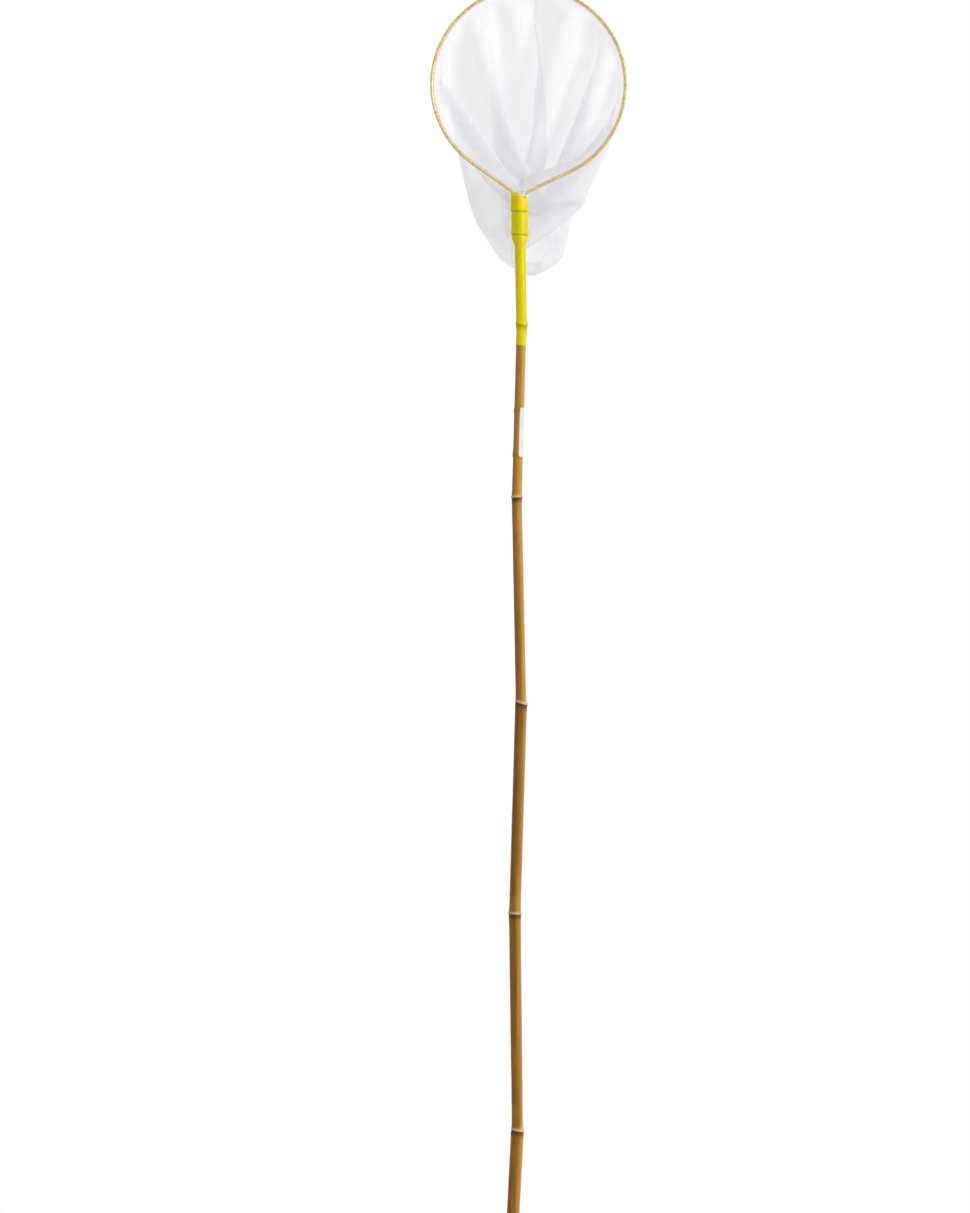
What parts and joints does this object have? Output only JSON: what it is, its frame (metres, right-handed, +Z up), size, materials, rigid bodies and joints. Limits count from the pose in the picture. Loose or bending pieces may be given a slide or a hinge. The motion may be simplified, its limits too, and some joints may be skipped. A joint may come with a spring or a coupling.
{
  "type": "hand net",
  "caption": "Small round hand net: wire hoop with a fine mesh bag, lashed and sleeved to the top of a jointed bamboo cane.",
  "frame": {"origin": "centre of the cane's sawn butt end", "axes": "+Z up along the cane to the hoop, +X across the hoop, the hoop faces -Y and the bag hangs behind it on the +Y side"},
  "size_m": [0.2036, 0.0916, 1.3048],
  "materials": {
    "bamboo": "natural varnished bamboo skin",
    "wire_steel": "drawn wire",
    "wire_plastic": "thin golden coat",
    "lashing_steel": "drawn wire",
    "sleeve_film": "shiny shrunk film",
    "net_mesh": "fine see-through mesh",
    "hem_mesh": "folded fine mesh",
    "gold_thread": "sewing thread",
    "white_thread": "sewing thread",
    "label_paper": "matt paper"
  },
  "bodies": {
    "root": {"cane": "bamboo", "hoop_wire": "wire_steel", "wire_coat": "wire_plastic", "upper_lashing": "lashing_steel", "lower_lashing": "lashing_steel", "sleeve": "sleeve_film", "net_bag": "net_mesh", "rim_hem": "hem_mesh", "hem_stitching": "gold_thread", "bag_seam": "white_thread", "price_label": "label_paper"}
  },
  "joints": []
}
